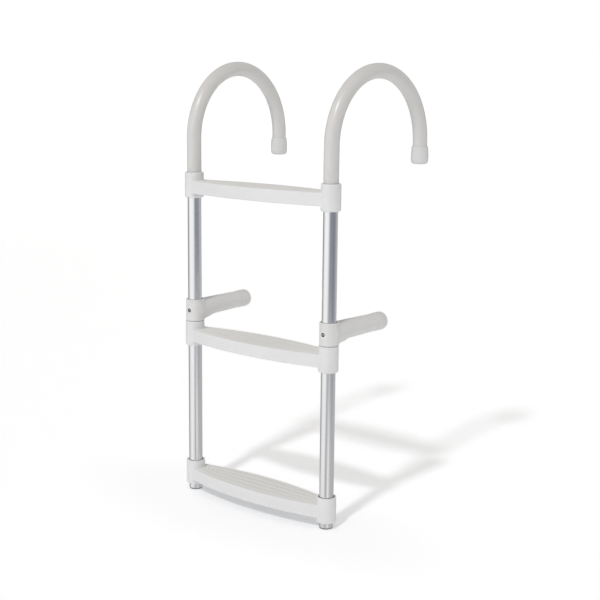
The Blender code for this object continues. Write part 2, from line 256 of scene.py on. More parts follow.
def settle(field, points, rounds=4, longest=0.0004):
    """Move points onto the field's zero surface, and give the surface normals there."""
    for _ in range(rounds):
        slope = gradient(field, points)
        size = np.maximum((slope ** 2).sum(1), 1e-6)
        move = field(*points.T)[:, None] * slope / size[:, None]
        length = np.maximum(np.linalg.norm(move, axis=1), 1e-12)
        points = points - move * np.minimum(1.0, longest / length)[:, None]
    slope = gradient(field, points)
    return points, slope / np.maximum(np.linalg.norm(slope, axis=1), 1e-9)[:, None]


def surface_net(field, grid):
    """Points and quads of the field's zero surface on a structured grid of points."""
    value = field(*np.moveaxis(grid, -1, 0))
    inside = value < 0
    cells = tuple(n - 1 for n in value.shape)
    total = np.zeros(cells + (3,))
    count = np.zeros(cells, int)
    crossings = []
    for axis in range(3):
        order = [axis, (axis + 1) % 3, (axis + 2) % 3]
        v = value.transpose(order)
        p = grid.transpose(order + [3])
        cross = inside.transpose(order)[:-1] != inside.transpose(order)[1:]
        span = np.where(cross, v[:-1] - v[1:], 1.0)
        where = np.where(cross, v[:-1] / span, 0.0)[..., None]
        hit = (p[:-1] + (p[1:] - p[:-1]) * where) * cross[..., None]
        total_here = total.transpose(order + [3])
        count_here = count.transpose(order)
        rows, columns = cross.shape[1] - 1, cross.shape[2] - 1
        for i in (0, 1):
            for j in (0, 1):
                total_here += hit[:, i:i + rows, j:j + columns]
                count_here += cross[:, i:i + rows, j:j + columns]
        crossings.append((order, cross[:, 1:-1, 1:-1], inside.transpose(order)[:-1, 1:-1, 1:-1]))
    active = count > 0
    index = np.full(cells, -1)
    index[active] = np.arange(active.sum())
    points = total[active] / count[active][:, None]
    quads = []
    for order, cross, starts_inside in crossings:
        at = index.transpose(order)
        ring = [at[:, :-1, :-1], at[:, 1:, :-1], at[:, 1:, 1:], at[:, :-1, 1:]]
        for wanted, way in ((cross & starts_inside, 1), (cross & ~starts_inside, -1)):
            quads.append(np.stack([corner[wanted] for corner in ring[::way]], -1))
    return points, np.concatenate(quads)


def ticks(*runs):
    """Grid positions from (start, end, step) runs that follow each other."""
    places = [np.linspace(a, b, max(2, round((b - a) / step) + 1))[:-1] for a, b, step in runs]
    return np.concatenate(places + [[runs[-1][1]]])


def box_grid(xs, ys, zs):
    """A structured grid of points from the positions along each axis."""
    return np.stack(np.meshgrid(xs, ys, zs, indexing="ij"), -1)


def edge_share(field, points, reach=0.0008, low=200.0, high=900.0):
    """How much each point lies on a convex edge, from 0 to 1, from the field's curvature."""
    bend = np.zeros(len(points))
    for axis in range(3):
        for way in (-reach, reach):
            shift = np.zeros(3)
            shift[axis] = way
            bend += field(*(points + shift).T)
    share = np.clip((bend / reach ** 2 - low) / (high - low), 0.0, 1.0)
    return share * share * (3 - 2 * share)


def set_attribute(mesh, name, values):
    """Store one number a vertex on a mesh."""
    attribute = mesh.attributes.new(name, "FLOAT", "POINT")
    attribute.data.foreach_set("value", np.asarray(values, np.float32))


def field_mesh(name, field, grid):
    """A smooth mesh of a field's surface, with its convex edges in the attribute edge."""
    points, quads = surface_net(field, grid)
    points, normals = settle(field, points)
    mesh = bpy.data.meshes.new(name)
    mesh.from_pydata(points.tolist(), [], quads.tolist())
    mesh.validate()
    mesh.shade_smooth()
    set_attribute(mesh, "edge", edge_share(field, points))
    mesh.normals_split_custom_set_from_vertices(normals.tolist())
    return mesh, points, normals


# ---------------------------------------------------------------- meshes from lofted rings

def rounded(corners, steps=5):
    """A (radius, length) outline from (radius, length, rounding) corners; each rounding eases one corner."""
    count = len(corners)
    outline = []
    for i, (radius, length, easing) in enumerate(corners):
        here = Vector((radius, length))
        if easing == 0:
            outline.append(here)
            continue
        before = Vector(corners[i - 1][:2]) - here
        after = Vector(corners[(i + 1) % count][:2]) - here
        start = here + before.normalized() * min(easing, before.length * 0.5)
        end = here + after.normalized() * min(easing, after.length * 0.5)
        for k in range(steps + 1):
            t = k / steps
            outline.append(start * (1 - t) ** 2 + here * (2 * t * (1 - t)) + end * t ** 2)
    return [(point.x, point.y) for point in outline]


def lofted(name, outline, line, sides):
    """Rings of an outline's radii along a line, closed on itself; attribute tube holds unrolled places."""
    bm = bmesh.new()
    layer = bm.verts.layers.float_vector.new("tube")
    loops = []
    for radius, length in outline:
        frame_at = line(length)
        ring = []
        for k in range(sides):
            angle = 2 * math.pi * k / sides
            flat = Vector((radius * math.cos(angle), radius * math.sin(angle), 0.0))
            vertex = bm.verts.new(frame_at @ flat)
            vertex[layer] = (flat.x, flat.y, length)
            ring.append(vertex)
        loops.append(ring)
    for lower, upper in zip(loops, loops[1:] + loops[:1]):
        for k in range(sides):
            m = (k + 1) % sides
            bm.faces.new((lower[k], lower[m], upper[m], upper[k]))
    bmesh.ops.remove_doubles(bm, verts=bm.verts, dist=1e-7)
    bmesh.ops.dissolve_degenerate(bm, edges=bm.edges, dist=1e-8)
    bmesh.ops.recalc_face_normals(bm, faces=bm.faces)
    mesh = bpy.data.meshes.new(name)
    bm.to_mesh(mesh)
    bm.free()
    mesh.shade_smooth()
    mesh.set_sharp_from_angle(angle=math.radians(40))
    return mesh


def straight(length):
    """A line straight up."""
    return Matrix.Translation((0, 0, length))


def hook_line(start_z):
    """The line of a rail from start_z up, over the hook and down, as a function of its length."""
    rise = HOOK_CENTRE_Z - start_z
    bend = math.pi * HOOK_RADIUS

    def place(length):
        if length <= rise:
            return Matrix.Translation((0, 0, start_z + length))
        turn = min((length - rise) / HOOK_RADIUS, math.pi)
        drop = max(length - rise - bend, 0.0)
        centre = Matrix.Translation((0, HOOK_RADIUS, HOOK_CENTRE_Z - drop))
        return centre @ Matrix.Rotation(-turn, 4, "X") @ Matrix.Translation((0, -HOOK_RADIUS, 0))

    return place, rise, bend


def bent_tube(name, outer, inner, start_z, end_z, lip):
    """A hollow tube along a rail and its hook, with eased lips at both ends."""
    line, rise, bend = hook_line(start_z)
    total = rise + bend + HOOK_CENTRE_Z - end_z
    stations = [LIP_SUPPORT] + [rise * k / 8 for k in range(1, 9)]
    stations += [rise + bend * k / BEND_RINGS for k in range(1, BEND_RINGS + 1)] + [total - LIP_SUPPORT]
    corners = [(inner, 0.0, lip), (outer, 0.0, lip)]
    corners += [(outer, s, 0.0) for s in stations]
    corners += [(outer, total, lip), (inner, total, lip)]
    corners += [(inner, s, 0.0) for s in reversed(stations)]
    return lofted(name, rounded(corners, 3), line, TUBE_SIDES)


# ---------------------------------------------------------------- the pieces' shapes

def pocket_ribs():
    """The x positions of the ribs between the pockets under a tread."""
    reach = HALF_SPACING - POCKET_END
    pitch = (2 * reach + RIB_WALL) / POCKETS
    return [-reach + i * pitch - RIB_WALL / 2 for i in range(1, POCKETS)]


def step_edges(x):
    """The front and rear edges of a step at x, and how steeply they run there."""
    bow = np.clip(1 - (x / HALF_SPACING) ** 2, 0.0, None)
    slope = np.where(bow > 0, 2 * np.abs(x) / HALF_SPACING ** 2, 0.0)
    front = -FRONT_AT_RAIL - FRONT_BOW * bow
    rear = REAR_AT_RAIL + REAR_BOW * bow
    return front, rear, np.hypot(1.0, FRONT_BOW * slope), np.hypot(1.0, REAR_BOW * slope)


def tread_height(x, y):
    """Height of the ridged tread: rounded ridges that fan out between the two bowed edges."""
    front, rear, _, _ = step_edges(x)
    across = (y - front) / (rear - front)
    wave = np.sin(math.pi * (across * RIDGES + 0.5))
    crown = np.sqrt(wave ** 2 + GROOVE_ROUNDNESS)
    fade = np.clip((np.hypot(np.abs(x) - HALF_SPACING, y) - COLLAR_RADIUS) / RIDGE_FADE, 0.0, 1.0)
    return TREAD_Z + RIDGE_HEIGHT * (crown - RIDGE_LEVEL) * fade


def step_field(x, y, z):
    """A step round the rails' axes: bowed tread over ribbed pockets, with a bored collar at each end."""
    from_middle = np.abs(x)
    front, rear, front_slope, rear_slope = step_edges(x)
    ahead = (front - y) / front_slope
    behind = (y - rear) / rear_slope
    plan = smooth_max(np.maximum(ahead, behind), from_middle - (HALF_SPACING + BODY_PAST_RAIL),
                      BODY_END_ROUNDING)
    body = smooth_max(plan, z - tread_height(x, y), TREAD_ROUNDING)
    body = smooth_max(body, APRON_Z - z, APRON_ROUNDING)
    pockets = smooth_max(ahead + APRON_WALL, from_middle - (HALF_SPACING - POCKET_END), POCKET_ROUNDING)
    pockets = smooth_max(pockets, behind + APRON_WALL, POCKET_ROUNDING)
    pockets = smooth_max(pockets, z - (TREAD_Z - TREAD_WALL), POCKET_ROOF_ROUNDING)
    for rib in pocket_ribs():
        pockets = smooth_max(pockets, RIB_WALL / 2 - np.abs(x - rib), RIB_ROUNDING)
    body = smooth_max(body, -pockets, MOUTH_ROUNDING)
    radial = np.hypot(from_middle - HALF_SPACING, y)
    collar = smooth_max(radial - COLLAR_RADIUS, z - COLLAR_HEIGHT, COLLAR_TOP_ROUNDING)
    collar = smooth_max(collar, -z, COLLAR_FOOT_ROUNDING)
    solid = smooth_min(body, collar, COLLAR_FILLET)
    bore = np.minimum(radial - BORE_RADIUS,
                      np.maximum(radial - COUNTERBORE_RADIUS, COLLAR_HEIGHT - COUNTERBORE_DEPTH - z))
    solid = smooth_max(solid, -bore, MOUTH_ROUNDING)
    inward = HALF_SPACING - from_middle
    round_screw = np.hypot(y, z - SCREW_Z)
    shank = np.maximum(round_screw - SCREW_SHANK_RADIUS - GAP, HOLE_START - inward)
    seat = np.maximum(round_screw - SCREW_HEAD_RADIUS - HEAD_CLEARANCE, SCREW_SEAT - inward)
    hole = np.maximum(np.minimum(shank, seat), inward - HOLE_END)
    return smooth_max(solid, -hole, HOLE_ROUNDING)


def step_grid():
    """A grid that follows the step's bowed edges, finer at the collars, ribs and edges."""
    end = HALF_SPACING + COLLAR_RADIUS + STEP_MARGIN
    near = HALF_SPACING - COLLAR_RADIUS - STEP_END_REACH
    runs = [(-end, -near, STEP_FINE)]
    for rib in pocket_ribs():
        low, high = rib - STEP_RIB_REACH, rib + STEP_RIB_REACH
        runs += [(runs[-1][1], low, STEP_COARSE), (low, high, STEP_RIB_SPACING)]
    runs += [(runs[-1][1], near, STEP_COARSE), (near, end, STEP_FINE)]
    xs = ticks(*runs)
    front, rear, _, _ = step_edges(xs)
    grid = box_grid(xs, ticks(*STEP_SHARE_RUNS), ticks(*STEP_HEIGHT_RUNS))
    grid[..., 1] = front[:, None, None] + grid[..., 1] * (rear - front)[:, None, None]
    return grid


def arm_half_sizes(y):
    """Half the arm's width, and its top and bottom, at a distance from the rail's axis."""
    along = np.clip(y, 0.0, ARM_END)
    radius = ARM_ROOT_RADIUS + (ARM_END_RADIUS - ARM_ROOT_RADIUS) * along / ARM_END
    fade = np.clip((GUSSET_END - along) / GUSSET_LENGTH, 0.0, 1.0)
    drop = GUSSET_DROP * fade * fade * (3 - 2 * fade)
    return np.minimum(radius, ARM_WAIST + ARM_FLARE * along), ARM_Z + radius, ARM_Z - radius - drop


def standoff_field(x, y, z):
    """A standoff round the rail's axis: bored collar, hollow arm on a gusset, clamp hole and nut pocket."""
    radial = np.hypot(x, y)
    collar = smooth_max(radial - STANDOFF_RADIUS, z - STANDOFF_HEIGHT, STANDOFF_TOP_ROUNDING)
    collar = smooth_max(collar, -z, STANDOFF_FOOT_ROUNDING)
    half_width, top, bottom = arm_half_sizes(y)
    half_height = (top - bottom) / 2
    oval = np.hypot(x / half_width, (z - (top + bottom) / 2) / half_height)
    arm = (oval - 1) * np.minimum(half_width, half_height)
    arm = np.maximum(smooth_max(arm, y - ARM_END, STANDOFF_RIM_ROUNDING), ARM_START - y)
    solid = smooth_min(collar, arm, ARM_FILLET)
    solid = smooth_max(solid, z - STANDOFF_HEIGHT, STANDOFF_RIM_ROUNDING)
    solid = smooth_max(solid, -z, STANDOFF_RIM_ROUNDING)
    core = np.maximum(np.hypot(x, z - ARM_Z) - ARM_CORE_RADIUS, ARM_CORE_START - y)
    solid = smooth_max(solid, -core, MOUTH_ROUNDING)
    bore = np.minimum(radial - BORE_RADIUS,
                      np.maximum(radial - COUNTERBORE_RADIUS, STANDOFF_HEIGHT - STANDOFF_COUNTERBORE - z))
    solid = smooth_max(solid, -bore, MOUTH_ROUNDING)
    hole = np.maximum(np.hypot(x, z - CLAMP_Z) - CLAMP_HOLE_RADIUS, y + CLAMP_SIDE)
    solid = smooth_max(solid, -hole, CLAMP_HOLE_ROUNDING)
    pocket = np.maximum(np.maximum(np.abs(x), np.abs(z - CLAMP_Z)) - (NUT_HALF + GAP),
                        np.maximum(radial - NUT_FAR - GAP, y + CLAMP_SIDE))
    return smooth_max(solid, -pocket, NUT_POCKET_ROUNDING)


def standoff_grid():
    """A grid round a standoff, finer at its collar, its clamp hole and its end."""
    return box_grid(ticks(*STANDOFF_X_RUNS), ticks(*STANDOFF_Y_RUNS), ticks(*STANDOFF_Z_RUNS))


def screw_thread(x, y, z, pitch, depth):
    """How far a thread round +Z stands out of its middle diameter."""
    return depth * np.sin(2 * math.pi * z / pitch + np.arctan2(y, x))


def pan_head_field(x, y, z):
    """A pan-head screw along +Z, its head uppermost, with a cross recess."""
    radial = np.hypot(x, y)
    head_low = SCREW_SEAT + GAP
    shank = smooth_max(radial - SCREW_SHANK_RADIUS, SCREW_TIP - z, SHANK_POINT_ROUNDING)
    shank = np.maximum(shank, z - head_low - SHANK_INTO_HEAD)
    shank = shank + screw_thread(x, y, z, SCREW_PITCH, THREAD_DEPTH) * (z < head_low - THREAD_RUNOUT)
    dome_centre = head_low + SCREW_HEAD_HEIGHT - SCREW_DOME_RADIUS
    dome = np.hypot(radial, z - dome_centre) - SCREW_DOME_RADIUS
    head = smooth_max(radial - SCREW_HEAD_RADIUS, dome, HEAD_ROUNDING)
    head = smooth_max(head, head_low - z, HOLE_ROUNDING)
    solid = smooth_min(shank, head, CRISP)
    depth = head_low + SCREW_HEAD_HEIGHT - z
    half_width = RECESS_HALF_WIDTH - RECESS_SIDE_TAPER * depth
    reach = RECESS_REACH - RECESS_END_TAPER * depth
    arms = np.minimum(np.maximum(np.abs(x) - half_width, np.abs(y) - reach),
                      np.maximum(np.abs(y) - half_width, np.abs(x) - reach))
    return smooth_max(solid, -np.maximum(arms, depth - RECESS_DEPTH), CRISP)


def pan_head_grid():
    """A grid round a step screw."""
    across = ticks(PAN_HEAD_ACROSS)
    return box_grid(across, across, ticks(*PAN_HEAD_RUNS))


def set_screw_field(x, y, z):
    """A socket set screw along +Z, its outer end chamfered to a small land round a hexagon socket."""
    near = TUBE_RADIUS + GAP
    thread = screw_thread(x, y, z, SET_SCREW_PITCH, THREAD_DEPTH)
    radial = np.hypot(x, y)
    solid = smooth_max(radial - CLAMP_SCREW_RADIUS + THREAD_DEPTH + thread, near - z,
                       SET_SCREW_POINT_ROUNDING)
    solid = smooth_max(solid, z - SET_SCREW_END, CRISP)
    chamfer = (radial - SET_SCREW_LAND + (z - SET_SCREW_END) * CHAMFER_SLOPE) * CHAMFER_SCALE
    solid = smooth_max(solid, chamfer, HOLE_ROUNDING)
    flats = [np.abs(x * math.cos(a) + y * math.sin(a)) for a in (0, math.pi / 3, 2 * math.pi / 3)]
    socket = np.maximum(np.maximum.reduce(flats) - SOCKET_HALF_WIDTH, SET_SCREW_END - SOCKET_DEPTH - z)
    return smooth_max(solid, -socket, CRISP)


def set_screw_grid():
    """A grid round a clamp screw."""
    across = ticks(SET_SCREW_ACROSS)
    return box_grid(across, across, ticks(SET_SCREW_RUN))


def nut_field(x, y, z):
    """A square nut along +Z, with chamfered corners and a threaded hole."""
    rim = np.hypot(np.maximum(np.abs(x), np.abs(y)), z) - NUT_FAR - GAP / 2
    slab = smooth_max(NUT_NEAR - z, smooth_max(z - NUT_FAR, rim, HOLE_ROUNDING), CRISP)
    square = smooth_max(np.abs(x) - NUT_HALF, np.abs(y) - NUT_HALF, NUT_CORNER)
    solid = smooth_max(slab, square, 2 * CRISP)
    thread = screw_thread(x, y, z, SET_SCREW_PITCH, NUT_THREAD_DEPTH)
    hole = CLAMP_SCREW_RADIUS + GAP - np.hypot(x, y) + thread
    return smooth_max(solid, hole, NUT_HOLE_ROUNDING)


def nut_grid():
    """A grid round a clamp nut."""
    across = ticks(NUT_ACROSS)
    return box_grid(across, across, ticks(NUT_RUN))


def cap_outline():
    """Outline of a hook cap from the middle of its bottom: rounded floor, flared wall, bored inside."""
    bore = SLEEVE_RADIUS + GAP
    corners = [(0.0, 0.0, 0.0), (CAP_RADIUS * 0.15, 0.0, 0.002), (CAP_RADIUS, 0.0008, 0.0085),
               (CAP_RADIUS + 0.0001, CAP_HEIGHT * 0.58, 0.006), (CAP_TOP_RADIUS, CAP_HEIGHT, 0.0014),
               (bore, CAP_HEIGHT, 0.0004), (bore, CAP_FLOOR, 0.0), (0.0, CAP_FLOOR, 0.0)]
    return rounded(corners, 8)


def plug_outline():
    """Outline of a foot plug from the middle of its dished bottom."""
    inner = TUBE_RADIUS - TUBE_WALL - GAP
    head_top = RAIL_BOTTOM_Z - GAP
    corners = [(0.0, PLUG_DISH_DEPTH, 0.0), (PLUG_DISH_RADIUS, PLUG_DISH_DEPTH, 0.0010),
               (PLUG_RIM_RADIUS, 0.0, 0.0006), (PLUG_HEAD_RADIUS, 0.0, 0.0011),
               (PLUG_HEAD_RADIUS, head_top, 0.0002), (inner, head_top, 0.0),
               (inner, PLUG_HEIGHT, 0.0015), (0.0, PLUG_HEIGHT, 0.0)]
    return rounded(corners, 6)


def tip_outline():
    """Outline of a standoff's bumper from its spigot to its rounded nose, with a lip at the seam."""
    spigot = ARM_CORE_RADIUS - GAP
    corners = [(0.0, -TIP_SPIGOT, 0.0), (spigot, -TIP_SPIGOT, 0.0010), (spigot, GAP, 0.0),
               (ARM_END_RADIUS + 0.0001, GAP, 0.0006), (TIP_RADIUS, TIP_LIP, 0.0030),
               (TIP_RADIUS, TIP_LENGTH, 0.0074), (TIP_RADIUS * 0.4, TIP_LENGTH, 0.0030),
               (0.0, TIP_LENGTH, 0.0)]
    return rounded(corners, 10)


# ---------------------------------------------------------------- materials

# A dark colour painted as shade in the recesses of the metal pieces
RECESS_SHADE_COLOUR = (0.05, 0.048, 0.045)


def node(tree, kind, values=(), **settings):
    """Add a shader node; values fill its inputs, as numbers or as links from other nodes' outputs."""
    made = tree.nodes.new(kind)
    for name, value in settings.items():
        setattr(made, name, value)
    for key, value in dict(values).items():
        if isinstance(value, bpy.types.NodeSocket):
            tree.links.new(value, made.inputs[key])
        else:
            made.inputs[key].default_value = value
    return made


def surface(name, metallic=0.0, ior=1.5):
    """A new material, its node tree and its Principled shader."""
    made = bpy.data.materials.new(name)
    made.use_nodes = True
    shader = made.node_tree.nodes["Principled BSDF"]
    shader.inputs["Metallic"].default_value = metallic
    shader.inputs["IOR"].default_value = ior
    return made, made.node_tree, shader


def own_place(tree):
    """Positions in the object's own space, shifted by a random step for each object."""
    place = node(tree, "ShaderNodeTexCoord").outputs["Object"]
    chance = node(tree, "ShaderNodeObjectInfo").outputs["Random"]
    step = node(tree, "ShaderNodeCombineXYZ", {"X": chance, "Y": chance, "Z": chance}).outputs[0]
    return node(tree, "ShaderNodeVectorMath", {0: place, 1: step}, operation="ADD").outputs[0]


def tube_place(tree):
    """Positions on the unrolled tube."""
    return node(tree, "ShaderNodeAttribute", attribute_name="tube").outputs["Vector"]


def stretched(tree, place, scale):
    """Positions scaled by axis."""
    return node(tree, "ShaderNodeMapping", {"Vector": place, "Scale": scale}, vector_type="POINT").outputs[0]


def noise(tree, place, scale, detail=3.0, rough=0.5):
    """Noise from 0 to 1 with about this many cells a metre."""
    values = {"Vector": place, "Scale": scale, "Detail": detail, "Roughness": rough}
    return node(tree, "ShaderNodeTexNoise", values).outputs["Fac"]


def ranged(tree, value, low, high, to_low, to_high):
    """A value mapped from one range to another and held within it."""
    values = {"Value": value, "From Min": low, "From Max": high, "To Min": to_low, "To Max": to_high}
    return node(tree, "ShaderNodeMapRange", values).outputs["Result"]


def blended(tree, share, first, second):
    """A colour between two colours."""
    made = node(tree, "ShaderNodeMix", data_type="RGBA")
    for key, value in ((0, share), (6, first), (7, second)):
        if isinstance(value, bpy.types.NodeSocket):
            tree.links.new(value, made.inputs[key])
        else:
            made.inputs[key].default_value = value if key == 0 else (*value, 1.0)
    return made.outputs[2]


def maths(tree, operation, first, second):
    """One sum on two values."""
    return node(tree, "ShaderNodeMath", {0: first, 1: second}, operation=operation).outputs[0]


def attribute(tree, name):
    """A number stored on the mesh."""
    return node(tree, "ShaderNodeAttribute", attribute_name=name).outputs["Fac"]


def raised(tree, height, distance, strength, below=None):
    """A bump from a height, on top of another bump."""
    values = {"Height": height, "Distance": distance, "Strength": strength}
    if below is not None:
        values["Normal"] = below
    return node(tree, "ShaderNodeBump", values).outputs["Normal"]


def tinted(colour, share):
    """A colour made lighter or darker."""
    return tuple(min(1.0, c * share) for c in colour)


def moulded_plastic(name, colour, rough, grain=0.00004, edges=True, tread=None):
    """Moulded plastic: faint flow marks and mottling, fine grain, edges rubbed smoother and painted lighter
    as a highlight; a tread also gets scuffs, grit and a warmer, lighter tone that is painted light on its
    top.
    """
    made, tree, shader = surface(name)
    place = own_place(tree)
    flow = noise(tree, stretched(tree, place, (14, 30, 30)), 1.0, 2.0)
    mottle = noise(tree, place, 420.0, 2.0)
    tone = blended(tree, ranged(tree, flow, 0.3, 0.7, 0.0, 1.0), tinted(colour, 0.975), tinted(colour, 1.02))
    tone = blended(tree, ranged(tree, mottle, 0.35, 0.65, 0.0, 0.35), tone, tinted(colour, 0.96))
    shine = ranged(tree, noise(tree, place, 75.0, 4.0), 0.25, 0.75, rough - 0.05, rough + 0.07)
    fine = noise(tree, place, 1500.0, 2.0)
    bump = raised(tree, noise(tree, place, 45.0, 2.0), 0.0004, 0.25)
    bump = raised(tree, fine, grain, 0.6, bump)
    # A tread: scuffs, grit and more roughness, and a warmer, lighter colour on the top faces, which is
    # painted light
    if tread:
        mask = attribute(tree, "tread")
        scuffs = noise(tree, stretched(tree, place, (25, 260, 260)), 1.0, 4.0)
        tread_wear_and_light = blended(tree, ranged(tree, scuffs, 0.45, 0.75, 0.0, 0.6), tread, tinted(tread, 0.95))
        tone = blended(tree, mask, tone, tread_wear_and_light)
        grit = maths(tree, "MULTIPLY", noise(tree, place, 900.0, 1.0), mask)
        bump = raised(tree, grit, 0.00012, 0.5, bump)
        shine = maths(tree, "ADD", shine, maths(tree, "MULTIPLY", mask, 0.12))
    if edges:
        # Convex edges: rubbed smoother, and painted lighter as a highlight
        edge_wear_and_highlight = attribute(tree, "edge")
        tone = blended(tree, maths(tree, "MULTIPLY", edge_wear_and_highlight, 0.5), tone, tinted(colour, 1.05))
        shine = maths(tree, "SUBTRACT", shine, maths(tree, "MULTIPLY", edge_wear_and_highlight, 0.08))
    tree.links.new(tone, shader.inputs["Base Color"])
    tree.links.new(shine, shader.inputs["Roughness"])
    tree.links.new(bump, shader.inputs["Normal"])
    return made


def sleeve_vinyl(name, colour):
    """Satin vinyl drawn over the tube: lengthwise flow lines, soft dimples and a few smudges."""
    made, tree, shader = surface(name, ior=1.53)
    place = tube_place(tree)
    lines = noise(tree, stretched(tree, place, (260, 260, 5)), 1.0, 3.0)
    smudge = noise(tree, stretched(tree, place, (45, 45, 22)), 1.0, 4.0)
    smudged = ranged(tree, smudge, 0.35, 0.7, 0.0, 1.0)
    tone = blended(tree, smudged, tinted(colour, 1.015), tinted(colour, 0.965))
    tone = blended(tree, ranged(tree, lines, 0.4, 0.65, 0.0, 0.4), tone, tinted(colour, 0.97))
    shine = ranged(tree, smudge, 0.3, 0.7, 0.28, 0.39)
    bump = raised(tree, lines, 0.00006, 0.5)
    bump = raised(tree, noise(tree, place, 330.0, 2.0), 0.00006, 0.5, bump)
    tree.links.new(tone, shader.inputs["Base Color"])
    tree.links.new(shine, shader.inputs["Roughness"])
    tree.links.new(bump, shader.inputs["Normal"])
    return made


def drawn_aluminium(name, colour):
    """Bright anodised aluminium with lengthwise drawing lines, fine scratches and hazy patches."""
    made, tree, shader = surface(name, metallic=1.0)
    place = tube_place(tree)
    lines = noise(tree, stretched(tree, place, (1100, 1100, 6)), 1.0, 3.0, 0.6)
    broad = noise(tree, stretched(tree, place, (170, 170, 3)), 1.0, 3.0)
    haze = noise(tree, place, 26.0, 4.0)
    scratch = noise(tree, stretched(tree, place, (420, 420, 45)), 1.0, 2.0)
    streaked = ranged(tree, broad, 0.35, 0.65, 0.0, 1.0)
    tone = blended(tree, streaked, tinted(colour, 0.97), tinted(colour, 1.02))
    tone = blended(tree, ranged(tree, scratch, 0.70, 0.76, 0.0, 0.5), tone, tinted(colour, 0.85))
    hazy = ranged(tree, haze, 0.4, 0.7, 0.0, 0.03)
    shine = maths(tree, "ADD", ranged(tree, lines, 0.3, 0.7, 0.16, 0.22), hazy)
    bump = raised(tree, lines, 0.00002, 0.3)
    bump = raised(tree, broad, 0.00003, 0.3, bump)
    tree.links.new(tone, shader.inputs["Base Color"])
    tree.links.new(shine, shader.inputs["Roughness"])
    tree.links.new(bump, shader.inputs["Normal"])
    return made


def turned_metal(name, colour, rough):
    """Machined metal: fine turning marks, brighter edges, darker spots, and painted shade in the recesses."""
    made, tree, shader = surface(name, metallic=1.0)
    place = own_place(tree)
    marks = noise(tree, stretched(tree, place, (700, 700, 5200)), 1.0, 2.0)
    spots = noise(tree, place, 900.0, 3.0)
    tone = blended(tree, ranged(tree, spots, 0.45, 0.7, 0.0, 0.6), colour, tinted(colour, 0.7))
    tone = blended(tree, attribute(tree, "edge"), tone, tinted(colour, 1.2))
    # Painted shade where the mesh marks a recess
    tone = blended(tree, attribute(tree, "painted_recess_shade"), tone, RECESS_SHADE_COLOUR)
    tree.links.new(tone, shader.inputs["Base Color"])
    tree.links.new(ranged(tree, spots, 0.3, 0.7, rough - 0.06, rough + 0.1), shader.inputs["Roughness"])
    tree.links.new(raised(tree, marks, 0.00002, 0.6), shader.inputs["Normal"])
    return made


MATERIALS = {
    # The tread colour, warmer and lighter than the step's, is painted light on the tread's upward faces
    "step_plastic": moulded_plastic("step_plastic", (0.766, 0.766, 0.770), 0.42, tread=(0.786, 0.779, 0.759)),
    "standoff_plastic": moulded_plastic("standoff_plastic", (0.732, 0.727, 0.720), 0.40),
    "cap_plastic": moulded_plastic("cap_plastic", (0.70, 0.70, 0.695), 0.46, edges=False),
    "tip_rubber": moulded_plastic("tip_rubber", (0.712, 0.704, 0.690), 0.50, edges=False),
    "plug_plastic": moulded_plastic("plug_plastic", (0.22, 0.22, 0.225), 0.55, grain=0.00008, edges=False),
    "sleeve_vinyl": sleeve_vinyl("sleeve_vinyl", (0.680, 0.666, 0.648)),
    "anodised_aluminium": drawn_aluminium("anodised_aluminium", (0.86, 0.86, 0.87)),
    "stainless_steel": turned_metal("stainless_steel", (0.58, 0.58, 0.59), 0.30),
    "brass": turned_metal("brass", (0.70, 0.52, 0.24), 0.32),
}


# ---------------------------------------------------------------- placing the pieces

def put(name, mesh, place, body, slot, node_name):
    """Show a mesh at its place on a body, in the finish of a slot, instead of a CAD node."""
    obj = bpy.data.objects.new(name, mesh)
    bpy.context.scene.collection.objects.link(obj)
    if not mesh.materials:
        mesh.materials.append(MATERIALS[slot])
    obj.matrix_world = place
    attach(obj, body)
    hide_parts(node_name)


def rail_place(side, z=0.0):
    """The frame on a rail's axis at height z, turned outwards by the splay."""
    return Matrix.Translation((side * HALF_SPACING, RAIL_Y, z)) @ Matrix.Rotation(-side * SPLAY, 4, "Z")


def along(axis):
    """A turn that stands local +Z along an axis."""
    return Vector(axis).to_track_quat("Z", "Y").to_matrix().to_4x4()


def make_steps():
    """The three steps, all from one moulding, and their screws."""
    mesh, points, normals = field_mesh("step_moulding", step_field, step_grid())
    radial = np.hypot(np.abs(points[:, 0]) - HALF_SPACING, points[:, 1])
    height = points[:, 2] - TREAD_Z
    # The tread's upward faces, whose warmer, lighter tone in the material is painted light
    on_tread = np.clip((height - TREAD_TOP_LOW) / 0.0006, 0, 1) * (height < TREAD_TOP_HIGH)
    outside = np.clip((radial - COLLAR_RADIUS - TREAD_TOP_CLEARANCE) / 0.001, 0, 1)
    upwards = np.clip((normals[:, 2] - TREAD_TOP_UPWARDS) / 0.3, 0, 1)
    set_attribute(mesh, "tread", on_tread * outside * upwards)
    screw, _, _ = field_mesh("pan_head_screw", pan_head_field, pan_head_grid())
    for level, base in STEP_BASES.items():
        put(f"{level}_step_moulding", mesh, Matrix.Translation((0, RAIL_Y, base)),
            "ladder_frame", "step_plastic", f"{level}_step")
        for label, side in SIDES.items():
            axis = Matrix.Translation((side * HALF_SPACING, RAIL_Y, base + SCREW_Z)) @ along((-side, 0, 0))
            put(f"{level}_pan_head_screw_{label}", screw, axis, "ladder_frame", "stainless_steel",
                f"{level}_step_screw_{label}")


